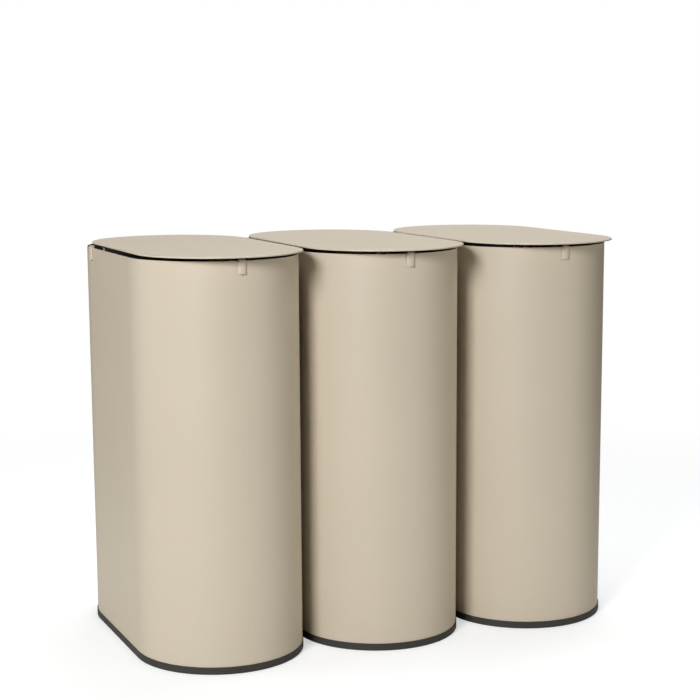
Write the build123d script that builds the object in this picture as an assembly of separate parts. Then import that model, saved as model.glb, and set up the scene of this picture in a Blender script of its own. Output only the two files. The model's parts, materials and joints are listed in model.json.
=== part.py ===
from build123d import *
from math import cos, radians, sin, sqrt
import os

# Three identical free-standing recycling bins in a row. Millimetres, +Z up, front towards -Y, +X along
# the row to the right. The origin is on the floor at the centre of the station's footprint. Each piece is
# modelled once, in the frame of one bin, whose own origin is on the floor at the centre of its shell, and
# is then placed in all three bins.

os.makedirs("parts", exist_ok=True)

# The row
bin_names = ("left", "middle", "right")
neighbour_clearance = 1.4  # between the widest things on two facing sides

# Shell: a rolled steel sleeve whose plan is a stadium, with its long axis front to back
shell_width = 220.0
shell_length = 404.0
rim_height = 520.0
shell_wall = 1.2
rim_round = 0.5  # softened edges of the rim

# Base ring: a dark moulded ring round the foot, with a flange that runs in under the shell
base_height = 10.0
base_proud = 1.2
base_shell_clearance = 0.1
base_flange_width = 20.0
base_flange_thickness = 2.6
base_bottom_round = 1.0
base_top_round = 0.4

# Base plate: a steel pan inside the shell, standing on the base ring's flange
pan_thickness = 1.2
pan_flange_height = 12.0
pan_shell_clearance = 0.1
pan_bend = 0.8

# Anti-slip feet, set into the underside of the base ring
foot_radius = 7.0
foot_thickness = 2.0
foot_proud = 0.5
foot_clearance = 0.1
foot_inset = 10.0  # from the shell's outer face to a foot's or a screw's centre

# Screws that hold the base ring to the base plate
screw_radius = 1.5
screw_head_radius = 3.0
screw_head_depth = 1.5
screw_tip = 2.0  # above the base plate
screw_socket_radius = 1.2
screw_socket_depth = 0.8
screw_clearance = 0.05

# Hooks: half-round tabs that hang the bag frame on the rim, each with a strap down the inside
hook_width = 11.2
hook_proud = 2.8
hook_drop = 16.5
hook_clearance = 0.3
hook_bridge = 2.5  # side hooks, which also carry the lid hinge
front_hook_bridge = 1.0
hook_bridge_width = 8.0
hook_corner_radius = 2.5  # lower corners of the half-round tab
hook_edge_round = 0.4
hook_from_bend = 7.4  # side hooks: from the end of the flat side forwards to the hook's centre
strap_thickness = 1.5
strap_end_margin = 2.0  # strap below the bag hoop

# Bag hoop: a flat bar bent to the shell's plan, which the bag folds over
hoop_thickness = 2.5
hoop_height = 10.0
hoop_drop = 42.0  # from the rim to the hoop's top edge
hoop_gap = 0.2
hoop_round = 0.8

# Lid: a flat plate that floats above the rim, stands out at the front and stops short at the back
lid_gap = 4.7
lid_thickness = 2.0
lid_side_inset = 2.7
lid_front_overhang = 20.5
lid_back_inset = 19.0
lid_top_round = 0.7
lid_bottom_round = 0.5
lid_opening = 85.0  # degrees

# Lid hinge: ears under the lid turn on two short pins in brackets on the side straps
pivot_drop = 14.0  # below the rim
pin_radius = 2.5
pin_head_radius = 4.2
pin_head_thickness = 1.6
pin_seat_clearance = 0.02
pin_running_clearance = 0.05
ear_from_wall = 15.5  # from the shell's outer face to the middle of the ear
ear_thickness = 2.0
neck_offset = 6.6  # the neck stands this far in front of the pivot
neck_width = 4.5
ear_foot_thickness = 1.2
ear_foot_reach = 14.0
ear_foot_length = 12.0
bush_wall = 0.95
bush_seat_clearance = 0.01
hinge_play = 0.1
washer_thickness = 1.3
washer_radius = 5.0
spacer_radius = 4.0
bracket_thickness = 1.5
bracket_web_drop = 15.5  # from the pivot to the underside of the web
stop_reach = 12.5  # from the pivot back to the far face of the open stop
stop_width = 6.0
stop_clearance = 0.3

# Rivets
rivet_radius = 1.5
rivet_head_radius = 3.0
rivet_head_thickness = 1.2
rivet_clearance = 0.02
rivet_seat_gap = 0.1
bracket_rivet_drop = 9.5  # below the pivot

# Bumper: the pad on the front hook that the lid lies on
bumper_clearance = 0.2
bumper_margin = 1.2
bumper_round = 0.4

# Derived sizes, in the frame of one bin
half_width = shell_width / 2
half_length = shell_length / 2
straight_half = half_length - half_width
bin_pitch = shell_width + 2 * max(hook_proud, base_proud) + neighbour_clearance
bin_shift_y = (lid_front_overhang - base_proud) / 2
flange_top = foot_proud + base_flange_thickness
hook_y = straight_half - hook_from_bend
front_bridge_top = rim_height + hook_clearance + front_hook_bridge
lid_underside = rim_height + lid_gap
pivot_y = hook_y
pivot_z = rim_height - pivot_drop
strap_outer_inset = shell_wall + hook_clearance
strap_inner_inset = strap_outer_inset + strap_thickness
strap_bottom = rim_height - hoop_drop - hoop_height - strap_end_margin
hoop_middle = rim_height - hoop_drop - hoop_height / 2


def sagitta(half_chord, radius):
    return radius - sqrt(radius**2 - half_chord**2)


# A flat strap against the round front of the shell needs this much more room
strap_sagitta = sagitta(hook_width / 2, half_width - shell_wall)
hoop_outer_inset = strap_inner_inset + strap_sagitta + hoop_gap
hoop_inner_inset = hoop_outer_inset + hoop_thickness

# Hinge stack on the right-hand side, from the wall inwards
strap_outer_x = half_width - strap_outer_inset
strap_inner_x = half_width - strap_inner_inset
bracket_flange_x = strap_inner_x - bracket_thickness
ear_outer_x = half_width - ear_from_wall + ear_thickness / 2
ear_inner_x = ear_outer_x - ear_thickness
cheek_outer_x = ear_inner_x - 2 * hinge_play - washer_thickness
cheek_inner_x = cheek_outer_x - bracket_thickness
eye_radius = neck_offset + neck_width / 2
bush_radius = pin_radius + pin_running_clearance + bush_wall


def stadium_slab(outset, low, high):
    """A slab with the shell's plan grown by outset."""
    plan = SlotOverall(shell_length + 2 * outset, shell_width + 2 * outset, rotation=90)
    return Pos(0, 0, low) * extrude(plan, high - low)


def stadium_tube(outer_outset, inner_outset, low, high):
    return stadium_slab(outer_outset, low, high) - stadium_slab(inner_outset, low, high)


def block(x_low, x_high, y_low, y_high, z_low, z_high):
    size = (x_high - x_low, y_high - y_low, z_high - z_low)
    centre = ((x_high + x_low) / 2, (y_high + y_low) / 2, (z_high + z_low) / 2)
    return Pos(*centre) * Box(*size)


def rod_x(radius, x_low, x_high, y, z):
    """A round bar along X."""
    return Pos((x_low + x_high) / 2, y, z) * Rot(0, 90, 0) * Cylinder(radius, x_high - x_low)


def rod_z(radius, x, y, z_low, z_high):
    return Pos(x, y, (z_low + z_high) / 2) * Cylinder(radius, z_high - z_low)


def top_edges(part):
    return part.edges().group_by(Axis.Z)[-1]


def bottom_edges(part):
    return part.edges().group_by(Axis.Z)[0]


def group(parts):
    return Compound([solid for part in parts for solid in part.solids()])


def both_sides(part):
    """The right-hand piece and its mirror image on the left."""
    return group([part, mirror(part, about=Plane.YZ)])


# Base points: a stadium line a fixed way in from the shell's outer face
base_line_x = half_width - foot_inset
foot_points = [(0, side * (half_length - foot_inset)) for side in (-1, 1)]
foot_points += [(i * base_line_x, j * straight_half * 0.6) for i in (-1, 1) for j in (-1, 1)]
screw_points = [(side * base_line_x, 0) for side in (-1, 1)]
screw_diagonal = base_line_x * sin(radians(45))
screw_points += [
    (i * screw_diagonal, j * (straight_half + screw_diagonal)) for i in (-1, 1) for j in (-1, 1)
]


def make_shell():
    sleeve = stadium_tube(0, -shell_wall, flange_top, rim_height)
    return fillet(top_edges(sleeve), rim_round)


def make_base_ring():
    ring = stadium_slab(base_proud, foot_proud, base_height)
    ring = fillet(bottom_edges(ring), base_bottom_round)
    ring = fillet(top_edges(ring), base_top_round)
    ring -= stadium_slab(base_shell_clearance, flange_top, base_height)
    ring -= stadium_slab(-base_flange_width, foot_proud, flange_top)
    for x, y in foot_points:
        ring -= rod_z(foot_radius + foot_clearance, x, y, foot_proud, foot_thickness)
    for x, y in screw_points:
        ring -= rod_z(screw_radius + screw_clearance, x, y, foot_proud, flange_top)
        ring -= Pos(x, y, foot_proud + screw_head_depth / 2) * Cone(
            screw_head_radius + screw_clearance, screw_radius + screw_clearance, screw_head_depth
        )
    return ring


def make_base_plate():
    outset = -shell_wall - pan_shell_clearance
    pan = stadium_slab(outset, flange_top, flange_top + pan_flange_height)
    pan = fillet(bottom_edges(pan), pan_bend)
    pan -= stadium_slab(
        outset - pan_thickness, flange_top + pan_thickness, flange_top + pan_flange_height
    )
    for x, y in screw_points:
        pan -= rod_z(screw_radius + screw_clearance, x, y, flange_top, flange_top + pan_thickness)
    return pan


def make_feet():
    pad = rod_z(foot_radius, 0, 0, 0, foot_thickness)
    pad = fillet(bottom_edges(pad), foot_proud / 2)
    return group([Pos(x, y, 0) * pad for x, y in foot_points])


def make_base_screws():
    screw_top = flange_top + pan_thickness + screw_tip
    screw = rod_z(screw_radius, 0, 0, foot_proud, screw_top)
    screw += Pos(0, 0, foot_proud + screw_head_depth / 2) * Cone(
        screw_head_radius, screw_radius, screw_head_depth
    )
    socket = extrude(RegularPolygon(screw_socket_radius, 6), screw_socket_depth)
    screw -= Pos(0, 0, foot_proud) * socket
    return group([Pos(x, y, 0) * screw for x, y in screw_points])


def make_hook_tab():
    """The half-round tab of a hook, outside the wall, with its flat top level with the rim."""
    outline = Pos(hook_clearance, 0) * Ellipse(hook_proud - hook_clearance, hook_width / 2)
    outline &= Pos(hook_clearance + hook_proud / 2, 0) * Rectangle(hook_proud, hook_width)
    tab = Pos(0, 0, -hook_drop) * extrude(outline, hook_drop)
    side_view = Rectangle(hook_width, 2 * hook_drop)
    side_view = fillet(side_view.vertices(), hook_corner_radius)
    tab &= Plane.YZ * extrude(side_view, hook_proud)
    front_edges = tab.edges().filter_by(lambda edge: edge.center().X > hook_clearance + hook_edge_round)
    return fillet(front_edges.group_by(Axis.Z)[-1], hook_edge_round)


def make_hook(bridge_thickness, extra_inset=0):
    """A hook on a wall whose outer face is x = 0, facing +X, with the rim at z = 0."""
    outer_face = hook_clearance
    bridge_height = hook_clearance + bridge_thickness
    strap_low = -hoop_drop - hoop_height - strap_end_margin
    strap_outer = -strap_outer_inset - extra_inset
    strap_inner = strap_outer - strap_thickness
    half = hook_width / 2
    half_bridge = hook_bridge_width / 2
    riser_outer = outer_face + strap_thickness
    riser = block(outer_face, riser_outer, -half_bridge, half_bridge, -strap_thickness, bridge_height)
    bridge = block(strap_inner, riser_outer, -half_bridge, half_bridge, hook_clearance, bridge_height)
    strap = block(strap_inner, strap_outer, -half, half, strap_low, hook_clearance)
    hook = make_hook_tab() + riser + bridge + strap
    hook -= rod_x(
        rivet_radius + rivet_clearance, strap_inner, strap_outer, 0, hoop_middle - rim_height
    )
    return hook


def make_front_hook():
    return Pos(0, -half_length, rim_height) * Rot(0, 0, -90) * make_hook(
        front_hook_bridge, strap_sagitta
    )


def make_side_hook():
    hook = Pos(half_width, hook_y, rim_height) * make_hook(hook_bridge)
    hook -= rod_x(
        pin_radius + pin_seat_clearance, strap_inner_x, strap_outer_x, pivot_y, pivot_z
    )
    hook -= rod_x(
        rivet_radius + rivet_clearance,
        strap_inner_x,
        strap_outer_x,
        pivot_y,
        pivot_z - bracket_rivet_drop,
    )
    return hook


def make_hoop():
    low = rim_height - hoop_drop - hoop_height
    hoop = stadium_tube(-hoop_outer_inset, -hoop_inner_inset, low, low + hoop_height)
    hoop = fillet(top_edges(hoop) + bottom_edges(hoop), hoop_round)
    hole = rod_x(
        rivet_radius + rivet_clearance,
        half_width - hoop_inner_inset - hoop_thickness,
        half_width,
        hook_y,
        hoop_middle,
    )
    hoop -= hole
    hoop -= mirror(hole, about=Plane.YZ)
    front_reach = hoop_inner_inset + hoop_thickness
    hoop -= Pos(0, -half_length + front_reach / 2, hoop_middle) * Rot(90, 0, 0) * Cylinder(
        rivet_radius + rivet_clearance, front_reach
    )
    return hoop


def bracket_side(x_low):
    """One upright of the hinge bracket, round at the top about the pivot."""
    low = pivot_z - bracket_web_drop
    upright = block(
        x_low, x_low + bracket_thickness, pivot_y - eye_radius, pivot_y + eye_radius, low, pivot_z
    )
    upright += rod_x(eye_radius, x_low, x_low + bracket_thickness, pivot_y, pivot_z)
    upright -= rod_x(
        pin_radius + pin_seat_clearance, x_low, x_low + bracket_thickness, pivot_y, pivot_z
    )
    return upright


def stop_height():
    """Height above the pivot of the open ear's neck, over the middle of the stop."""
    angle = radians(lid_opening)
    rear_face = neck_offset - neck_width / 2
    along = (stop_reach - bracket_thickness + rear_face * cos(angle)) / sin(angle)
    return rear_face * sin(angle) + along * cos(angle)


def make_bracket():
    low = pivot_z - bracket_web_drop
    back = pivot_y + stop_reach
    ear_middle = (ear_outer_x + ear_inner_x) / 2
    bracket = bracket_side(bracket_flange_x) + bracket_side(cheek_inner_x)
    bracket += block(
        cheek_inner_x,
        strap_inner_x,
        pivot_y - eye_radius,
        pivot_y + eye_radius,
        low,
        low + bracket_thickness,
    )
    stop_low_x = ear_middle - stop_width / 2
    stop_high_x = ear_middle + stop_width / 2
    bracket += block(stop_low_x, stop_high_x, pivot_y, back, low, low + bracket_thickness)
    bracket += block(
        stop_low_x,
        stop_high_x,
        back - bracket_thickness,
        back,
        low,
        pivot_z + stop_height() - stop_clearance,
    )
    bracket -= rod_x(
        rivet_radius + rivet_clearance,
        bracket_flange_x,
        strap_inner_x,
        pivot_y,
        pivot_z - bracket_rivet_drop,
    )
    return bracket


def make_rivet(length):
    """A rivet along X: the head lies below x = 0 and the shank runs to x = length."""
    head = rod_x(rivet_head_radius, -rivet_head_thickness, 0, 0, 0)
    head = fillet(head.edges().group_by(Axis.X)[0], rivet_head_thickness * 0.6)
    return head + rod_x(rivet_radius, 0, length, 0, 0)


def make_rivets():
    bracket_head_x = bracket_flange_x - rivet_seat_gap
    bracket_rivet = Pos(bracket_head_x, pivot_y, pivot_z - bracket_rivet_drop) * make_rivet(
        strap_outer_x - bracket_head_x
    )
    hoop_head_inset = hoop_inner_inset + rivet_seat_gap
    hoop_rivet = Pos(half_width - hoop_head_inset, hook_y, hoop_middle) * make_rivet(
        hoop_head_inset - strap_outer_inset
    )
    front_shank = hoop_head_inset - strap_outer_inset - strap_sagitta
    front_rivet = Pos(0, -half_length + hoop_head_inset, hoop_middle) * Rot(0, 0, -90)
    front_rivet = front_rivet * make_rivet(front_shank)
    return group([both_sides(bracket_rivet), both_sides(hoop_rivet), front_rivet])


def make_hinge_pins():
    pin = rod_x(pin_radius, cheek_inner_x, strap_outer_x, pivot_y, pivot_z)
    head = rod_x(
        pin_head_radius, cheek_inner_x - pin_head_thickness, cheek_inner_x, pivot_y, pivot_z
    )
    head = fillet(head.edges().group_by(Axis.X)[0], pin_head_thickness / 2)
    return both_sides(pin + head)


def sleeve_x(radius, x_low, x_high):
    """A sleeve that turns freely on the hinge pin."""
    sleeve = rod_x(radius, x_low, x_high, pivot_y, pivot_z)
    return sleeve - rod_x(
        pin_radius + pin_running_clearance, x_low, x_high, pivot_y, pivot_z
    )


def make_hinge_spacers():
    long_spacer = sleeve_x(spacer_radius, ear_outer_x + hinge_play, bracket_flange_x)
    washer = sleeve_x(
        washer_radius, cheek_outer_x + hinge_play, cheek_outer_x + hinge_play + washer_thickness
    )
    return group([both_sides(long_spacer), both_sides(washer)])


def make_bumper():
    """A pad on the bridge of the front hook, just under the closed lid."""
    front = -half_length - hook_clearance - strap_thickness + bumper_margin
    back = -half_length + strap_inner_inset + strap_sagitta
    half = hook_bridge_width / 2 - bumper_margin
    pad = block(-half, half, front, back, front_bridge_top, lid_underside - bumper_clearance)
    return fillet(top_edges(pad), bumper_round)


def make_lid():
    width = shell_width - 2 * lid_side_inset
    length = shell_length + lid_front_overhang - lid_back_inset
    centre_y = -(lid_front_overhang + lid_back_inset) / 2
    plate = Pos(0, centre_y, lid_underside) * extrude(
        SlotOverall(length, width, rotation=90), lid_thickness
    )
    plate = fillet(top_edges(plate), lid_top_round)
    return fillet(bottom_edges(plate), lid_bottom_round)


def make_ear():
    neck_middle = pivot_y - neck_offset
    ear = rod_x(eye_radius, ear_inner_x, ear_outer_x, pivot_y, pivot_z)
    ear += block(
        ear_inner_x,
        ear_outer_x,
        neck_middle - neck_width / 2,
        neck_middle + neck_width / 2,
        pivot_z,
        lid_underside,
    )
    ear += block(
        ear_outer_x - ear_foot_reach,
        ear_outer_x,
        neck_middle - ear_foot_length / 2,
        neck_middle + ear_foot_length / 2,
        lid_underside - ear_foot_thickness,
        lid_underside,
    )
    ear -= rod_x(bush_radius, ear_inner_x, ear_outer_x, pivot_y, pivot_z)
    return ear


def make_ear_bushes():
    bush = sleeve_x(
        bush_radius - bush_seat_clearance,
        ear_inner_x - hinge_play / 2,
        ear_outer_x + hinge_play / 2,
    )
    return both_sides(bush)


right_hook = make_side_hook()
right_bracket = make_bracket()
right_ear = make_ear()
pieces = {
    "shell": make_shell(),
    "base_ring": make_base_ring(),
    "base_plate": make_base_plate(),
    "feet": make_feet(),
    "base_screws": make_base_screws(),
    "bag_hoop": make_hoop(),
    "front_hook": make_front_hook(),
    "left_hook": mirror(right_hook, about=Plane.YZ),
    "right_hook": right_hook,
    "left_bracket": mirror(right_bracket, about=Plane.YZ),
    "right_bracket": right_bracket,
    "hinge_pins": make_hinge_pins(),
    "hinge_spacers": make_hinge_spacers(),
    "frame_rivets": make_rivets(),
    "lid_bumper": make_bumper(),
    "lid": make_lid(),
    "left_ear": mirror(right_ear, about=Plane.YZ),
    "right_ear": right_ear,
    "ear_bushes": make_ear_bushes(),
}

for index, bin_name in enumerate(bin_names):
    place = Pos((index - 1) * bin_pitch, bin_shift_y, 0)
    for piece_name, piece in pieces.items():
        export_step(place * piece, f"parts/{bin_name}_{piece_name}.step")

print("bin pitch", bin_pitch, "shift y", bin_shift_y)
print("pivot y, z", pivot_y + bin_shift_y, pivot_z)
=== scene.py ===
"""Looks of the recycling bin station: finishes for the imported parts, floor, light and camera."""

import json
from math import cos, sin

import bpy
from mathutils import Matrix, Vector


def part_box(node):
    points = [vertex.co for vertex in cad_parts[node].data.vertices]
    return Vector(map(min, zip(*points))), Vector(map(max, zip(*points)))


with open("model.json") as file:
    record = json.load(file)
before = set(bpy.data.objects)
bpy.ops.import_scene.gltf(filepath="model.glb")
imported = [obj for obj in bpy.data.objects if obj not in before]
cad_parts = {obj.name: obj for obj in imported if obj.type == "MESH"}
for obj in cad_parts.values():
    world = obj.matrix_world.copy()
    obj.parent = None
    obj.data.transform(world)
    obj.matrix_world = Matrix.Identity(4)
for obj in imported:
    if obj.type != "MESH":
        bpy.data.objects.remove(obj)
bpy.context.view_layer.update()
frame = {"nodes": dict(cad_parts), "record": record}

scene = bpy.context.scene
scene.view_settings.view_transform = "Standard"

# ---------------------------------------------------------------- camera
# Metres and radians. The origin is on the floor at the centre of the station's footprint.
camera_place = Vector((-0.9054, -2.0510, 0.6896))
camera_pan = 0.4076  # from +Y towards +X
camera_tilt = 0.1599  # downwards
camera_roll = 0.0068
camera_lens = 84.0  # millimetres, on a sensor of camera_sensor
camera_sensor = 36.0
camera_shift = (0.0189, 0.0450)


def make_camera():
    forward = Vector(
        (
            sin(camera_pan) * cos(camera_tilt),
            cos(camera_pan) * cos(camera_tilt),
            -sin(camera_tilt),
        )
    )
    level_right = Vector((cos(camera_pan), -sin(camera_pan), 0))
    level_down = forward.cross(level_right)
    right = cos(camera_roll) * level_right + sin(camera_roll) * level_down
    up = sin(camera_roll) * level_right - cos(camera_roll) * level_down
    data = bpy.data.cameras.new("camera")
    data.lens = camera_lens
    data.sensor_width = camera_sensor
    data.shift_x, data.shift_y = camera_shift
    data.clip_end = 50
    camera = bpy.data.objects.new("camera", data)
    scene.collection.objects.link(camera)
    turn = Matrix((right, up, -forward)).transposed().to_4x4()
    camera.matrix_world = Matrix.Translation(camera_place) @ turn
    scene.camera = camera


make_camera()


# ---------------------------------------------------------------- materials
shell_wall = 0.0012


class Nodes:
    """A short way to write a node material. Scales are per metre and distances are in metres."""

    def __init__(self, name):
        self.material = bpy.data.materials.new(name)
        self.material.use_nodes = True
        self.tree = self.material.node_tree
        self.tree.nodes.clear()
        self.output = self.add("ShaderNodeOutputMaterial")

    def add(self, kind, **values):
        node = self.tree.nodes.new(kind)
        for key, value in values.items():
            setattr(node, key, value)
        return node

    def link(self, source, target):
        self.tree.links.new(source, target)

    def object_coordinates(self):
        return self.add("ShaderNodeTexCoord").outputs["Object"]

    def noise(self, vector, scale, detail=2.0, roughness=0.5, stretch=None):
        if stretch is not None:
            mapping = self.add("ShaderNodeMapping")
            mapping.inputs["Scale"].default_value = stretch
            self.link(vector, mapping.inputs["Vector"])
            vector = mapping.outputs["Vector"]
        node = self.add("ShaderNodeTexNoise")
        node.inputs["Scale"].default_value = scale
        node.inputs["Detail"].default_value = detail
        node.inputs["Roughness"].default_value = roughness
        self.link(vector, node.inputs["Vector"])
        return node.outputs["Fac"]

    def remap(self, value, low, high, from_low=0.3, from_high=0.7):
        node = self.add("ShaderNodeMapRange")
        node.inputs["From Min"].default_value = from_low
        node.inputs["From Max"].default_value = from_high
        node.inputs["To Min"].default_value = low
        node.inputs["To Max"].default_value = high
        self.link(value, node.inputs["Value"])
        return node.outputs["Result"]

    def multiply(self, one, two):
        node = self.add("ShaderNodeMath", operation="MULTIPLY")
        self.link(one, node.inputs[0])
        self.link(two, node.inputs[1])
        return node.outputs["Value"]

    def mixed(self, blend, factor, one, two):
        """One colour mixed with another; each value is a colour, a number or a socket."""
        node = self.add("ShaderNodeMix", data_type="RGBA", blend_type=blend)
        sockets = (node.inputs[0], node.inputs[6], node.inputs[7])  # factor, A and B of a colour mix
        for value, target in zip((factor, one, two), sockets):
            if isinstance(value, bpy.types.NodeSocket):
                self.link(value, target)
            elif isinstance(value, tuple):
                target.default_value = (*value, 1)
            else:
                target.default_value = value
        return node.outputs[2]

    def brightened(self, colour, factor):
        """The colour times a factor that varies over the surface."""
        return self.mixed("MULTIPLY", 1.0, colour, factor)

    def bump(self, height, distance, strength=1.0, normal=None):
        node = self.add("ShaderNodeBump")
        node.inputs["Distance"].default_value = distance
        node.inputs["Strength"].default_value = strength
        self.link(height, node.inputs["Height"])
        if normal is not None:
            self.link(normal, node.inputs["Normal"])
        return node.outputs["Normal"]

    def shader(self, colour, roughness, normal, metallic=0.0, specular=0.5):
        node = self.add("ShaderNodeBsdfPrincipled")
        node.inputs["Metallic"].default_value = metallic
        node.inputs["Specular IOR Level"].default_value = specular
        self.link(colour, node.inputs["Base Color"])
        self.link(roughness, node.inputs["Roughness"])
        self.link(normal, node.inputs["Normal"])
        self.link(node.outputs["BSDF"], self.output.inputs["Surface"])
        return self.material


def painted_shade_inside_mask(n, place):
    """1 on the inner face of a shell and 0 on its outer face, by the distance from the shell's mid line:
    the mask for the painted shade inside the bins.
    """
    low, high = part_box("middle_shell")
    radius = (high.x - low.x) / 2
    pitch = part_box("right_shell")[0].x - low.x
    split = n.add("ShaderNodeSeparateXYZ")
    n.link(place, split.inputs["Vector"])
    across = n.add("ShaderNodeMath", operation="WRAP")
    n.link(split.outputs["X"], across.inputs[0])
    across.inputs[1].default_value = pitch / 2
    across.inputs[2].default_value = -pitch / 2
    on_line = n.add("ShaderNodeClamp")
    n.link(split.outputs["Y"], on_line.inputs["Value"])
    on_line.inputs["Min"].default_value = low.y + radius
    on_line.inputs["Max"].default_value = high.y - radius
    along = n.add("ShaderNodeMath", operation="SUBTRACT")
    n.link(split.outputs["Y"], along.inputs[0])
    n.link(on_line.outputs["Result"], along.inputs[1])
    arm = n.add("ShaderNodeCombineXYZ")
    n.link(across.outputs["Value"], arm.inputs["X"])
    n.link(along.outputs["Value"], arm.inputs["Y"])
    reach = n.add("ShaderNodeVectorMath", operation="LENGTH")
    n.link(arm.outputs["Vector"], reach.inputs[0])
    inner_end = radius - 0.9 * shell_wall
    outer_end = radius - 0.6 * shell_wall
    return n.remap(reach.outputs["Value"], 1, 0, inner_end, outer_end)


def edge_highlight_and_smoothing_mask(n, place, radius):
    """0 on open faces, up to 1 along edges, broken up by noise: the mask for a painted highlight along
    edges and for smoother edges.
    """
    rounded = n.add("ShaderNodeBevel", samples=4)
    rounded.inputs["Radius"].default_value = radius
    facing = n.add("ShaderNodeVectorMath", operation="DOT_PRODUCT")
    n.link(rounded.outputs["Normal"], facing.inputs[0])
    n.link(n.add("ShaderNodeNewGeometry").outputs["Normal"], facing.inputs[1])
    edge = n.remap(facing.outputs["Value"], 1, 0, 0.7, 0.98)
    return n.multiply(edge, n.remap(n.noise(place, 60, detail=4), 0.45, 1.0))


def powder_coat(name, colour, inner_shade_colour=None):
    """Matt powder coat: grain, orange peel, a faint uneven tone, smoother edges, and a painted highlight
    that makes the edges lighter.
    """
    n = Nodes(name)
    place = n.object_coordinates()
    if inner_shade_colour is not None:
        # Painted shade: the inner face of each shell gets the near-black inner colour in place of the
        # beige.
        colour = n.mixed("MIX", painted_shade_inside_mask(n, place), colour, inner_shade_colour)
    grain = n.noise(place, 1100, detail=3, roughness=0.6)
    peel = n.noise(place, 260, detail=2)
    cloud = n.noise(place, 7, detail=3)
    edge_highlight_and_smoothing = edge_highlight_and_smoothing_mask(n, place, 0.0011)
    tone = n.multiply(n.remap(grain, 0.95, 1.045), n.remap(cloud, 0.985, 1.012))
    # Painted highlight: the colour is made up to 16% lighter along edges.
    tone = n.multiply(tone, n.remap(edge_highlight_and_smoothing, 1.0, 1.16, 0, 1))
    rough = n.multiply(n.remap(peel, 0.46, 0.56), n.remap(edge_highlight_and_smoothing, 1.0, 0.8, 0, 1))
    normal = n.bump(grain, 0.00006, 0.55)
    normal = n.bump(peel, 0.00012, 0.22, normal)
    return n.shader(n.brightened(colour, tone), rough, normal, specular=0.62)


def moulded_plastic(name, colour):
    """Spark-textured moulded plastic with a slightly uneven shine."""
    n = Nodes(name)
    place = n.object_coordinates()
    grain = n.noise(place, 1500, detail=2)
    cloud = n.noise(place, 25, detail=4)
    tone = n.multiply(n.remap(grain, 0.9, 1.1), n.remap(cloud, 0.92, 1.1))
    rough = n.remap(cloud, 0.5, 0.62)
    normal = n.bump(grain, 0.00008, 0.5)
    return n.shader(n.brightened(colour, tone), rough, normal, specular=0.45)


def soft_rubber(name, colour):
    """Dull rubber that has picked up some dust."""
    n = Nodes(name)
    place = n.object_coordinates()
    grain = n.noise(place, 2200, detail=2)
    dust = n.noise(place, 120, detail=5, roughness=0.7)
    tone = n.remap(dust, 0.85, 1.35)
    rough = n.remap(dust, 0.72, 0.9)
    normal = n.bump(grain, 0.0001, 0.4)
    return n.shader(n.brightened(colour, tone), rough, normal, specular=0.3)


def zinc_sheet(name, colour):
    """Galvanised sheet with its spangle."""
    n = Nodes(name)
    place = n.object_coordinates()
    cells = n.add("ShaderNodeTexVoronoi")
    cells.inputs["Scale"].default_value = 110
    n.link(place, cells.inputs["Vector"])
    split = n.add("ShaderNodeSeparateColor")
    n.link(cells.outputs["Color"], split.inputs["Color"])
    spangle = split.outputs["Red"]
    scratch = n.noise(place, 90, detail=4, stretch=(1, 14, 1))
    tone = n.multiply(
        n.remap(spangle, 0.84, 1.1, 0, 1), n.remap(scratch, 0.92, 1.06)
    )
    rough = n.remap(spangle, 0.34, 0.5, 0, 1)
    normal = n.bump(scratch, 0.00008, 0.3)
    return n.shader(n.brightened(colour, tone), rough, normal, metallic=1.0)


def plain_steel(name, colour):
    """Zinc-plated turned steel, with fine lines round the part."""
    n = Nodes(name)
    place = n.object_coordinates()
    lines = n.noise(place, 1800, detail=2, stretch=(0.12, 1, 1))
    stain = n.noise(place, 160, detail=4)
    tone = n.multiply(n.remap(lines, 0.9, 1.06), n.remap(stain, 0.86, 1.05))
    rough = n.remap(stain, 0.26, 0.42)
    normal = n.bump(lines, 0.00004, 0.4)
    return n.shader(n.brightened(colour, tone), rough, normal, metallic=1.0)


beige = (0.590, 0.518, 0.408)
# Painted shade: a near-black colour for the inner face of the shells.
inner_painted_shade = (0.045, 0.041, 0.036)
slot_materials = {
    "coated_steel": powder_coat("beige powder coat", beige),
    "base_plastic": moulded_plastic("charcoal base plastic", (0.037, 0.034, 0.030)),
    "galvanised_steel": zinc_sheet("galvanised sheet", (0.56, 0.57, 0.57)),
    "plain_steel": plain_steel("zinc-plated steel", (0.62, 0.61, 0.59)),
    "foot_rubber": soft_rubber("black foot rubber", (0.022, 0.021, 0.020)),
    "hinge_plastic": moulded_plastic("black acetal", (0.030, 0.030, 0.031)),
    "bumper_silicone": soft_rubber("dark silicone", (0.045, 0.042, 0.039)),
}

# The shells' material paints shade on their inner face.
shell_material_with_painted_shade = powder_coat("beige powder coat, painted shade inside", beige, inner_painted_shade)
slot_of = {part["node"]: part["material_slot"] for part in frame["record"]["subparts"]}
for node_name, node in frame["nodes"].items():
    is_shell = node_name.endswith("_shell")
    finish = shell_material_with_painted_shade if is_shell else slot_materials[slot_of[node_name]]
    node.data.materials.clear()
    node.data.materials.append(finish)


# ---------------------------------------------------------------- floor and light
# Each pair is the strength that other surfaces get, and the strength that the camera sees.
near_floor_glow = (0.02, 0.54)
far_floor_glow = (0.06, 1.0)
world_glow = (0.02, 1.0)
floor_reach = 9.0
near_floor_end = 0.7  # from the origin: up to here the floor is matt and takes the bins' shadow
far_floor_start = 1.5  # from here on it is plain white


def seen_strength(n, pair):
    """One strength for the light that falls on other things, and one for what the camera sees."""
    path = n.add("ShaderNodeLightPath").outputs["Is Camera Ray"]
    return n.remap(path, *pair, 0, 1)


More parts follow.
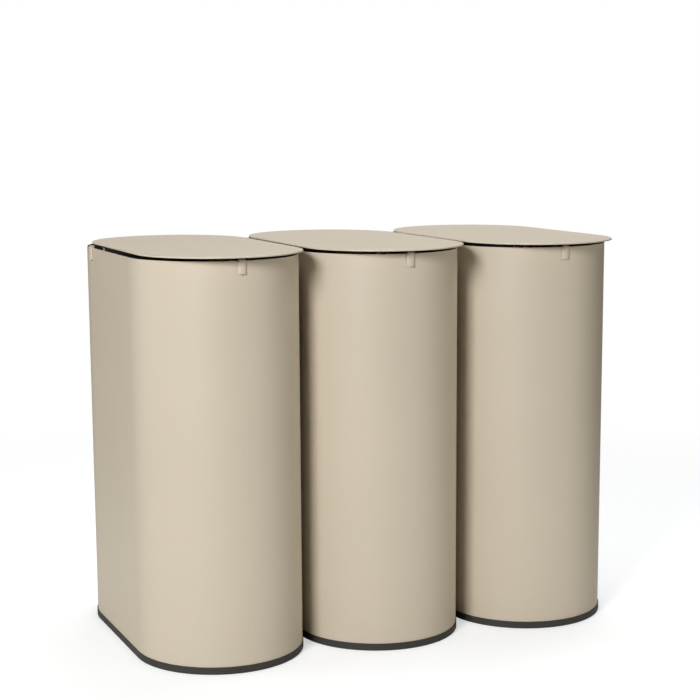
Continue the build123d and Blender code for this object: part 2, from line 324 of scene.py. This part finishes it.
def make_floor():
    """A white sweep: matt near the bins, so that it takes their shadow, and plain white further out."""
    far = floor_reach
    mesh = bpy.data.meshes.new("floor")
    corners = [(-far, -far, 0), (far, -far, 0), (far, far, 0), (-far, far, 0)]
    mesh.from_pydata(corners, [], [(0, 1, 2, 3)])
    floor = bpy.data.objects.new("floor", mesh)
    scene.collection.objects.link(floor)
    n = Nodes("white floor")
    distance = n.add("ShaderNodeVectorMath", operation="LENGTH")
    n.link(n.object_coordinates(), distance.inputs[0])
    share_far = n.remap(distance.outputs["Value"], 0, 1, near_floor_end, far_floor_start)
    matt = n.add("ShaderNodeBsdfDiffuse")
    matt.inputs["Color"].default_value = (0.60, 0.60, 0.60, 1)
    glow = n.add("ShaderNodeEmission")
    glow.inputs["Color"].default_value = (0.975, 0.99, 1.0, 1)
    n.link(seen_strength(n, near_floor_glow), glow.inputs["Strength"])
    near_floor = n.add("ShaderNodeAddShader")
    n.link(matt.outputs["BSDF"], near_floor.inputs[0])
    n.link(glow.outputs["Emission"], near_floor.inputs[1])
    white = n.add("ShaderNodeEmission")
    n.link(seen_strength(n, far_floor_glow), white.inputs["Strength"])
    mix = n.add("ShaderNodeMixShader")
    n.link(share_far, mix.inputs["Fac"])
    n.link(near_floor.outputs["Shader"], mix.inputs[1])
    n.link(white.outputs["Emission"], mix.inputs[2])
    n.link(mix.outputs["Shader"], n.output.inputs["Surface"])
    mesh.materials.append(n.material)


def make_world():
    """White behind the object, and only a little light from all round."""
    world = bpy.data.worlds.new("studio")
    world.use_nodes = True
    scene.world = world
    tree = world.node_tree
    background = tree.nodes["Background"]
    background.inputs["Color"].default_value = (1, 1, 1, 1)
    path = tree.nodes.new("ShaderNodeLightPath")
    strength = tree.nodes.new("ShaderNodeMapRange")
    strength.inputs["To Min"].default_value = world_glow[0]
    strength.inputs["To Max"].default_value = world_glow[1]
    tree.links.new(path.outputs["Is Camera Ray"], strength.inputs["Value"])
    tree.links.new(strength.outputs["Result"], background.inputs["Strength"])


def soft_box(name, place, target, size, power, colour):
    """A square area light of the given side in metres and power in watts."""
    data = bpy.data.lights.new(name, "AREA")
    data.shape = "SQUARE"
    data.size = size
    data.energy = power
    data.color = colour
    light = bpy.data.objects.new(name, data)
    scene.collection.objects.link(light)
    light.location = place
    aim = Vector(target) - Vector(place)
    light.rotation_euler = aim.to_track_quat("-Z", "Y").to_euler()


make_floor()
make_world()
soft_box("key", (-2.05, -1.98, 1.5), (0, 0, 0.35), 0.8, 76.5, (1.0, 1.0, 1.0))
soft_box("overhead", (0.5, 0.5, 2.4), (0.2, 0, 0.5), 1.4, 42, (0.98, 0.985, 1.01))
soft_box("fill", (2.3, -2.7, 0.9), (0, 0, 0.25), 1.7, 28, (1.0, 0.96, 0.85))
soft_box("left fill", (-3.0, 1.0, 0.9), (0, 0, 0.3), 1.6, 19, (1.0, 0.98, 0.9))
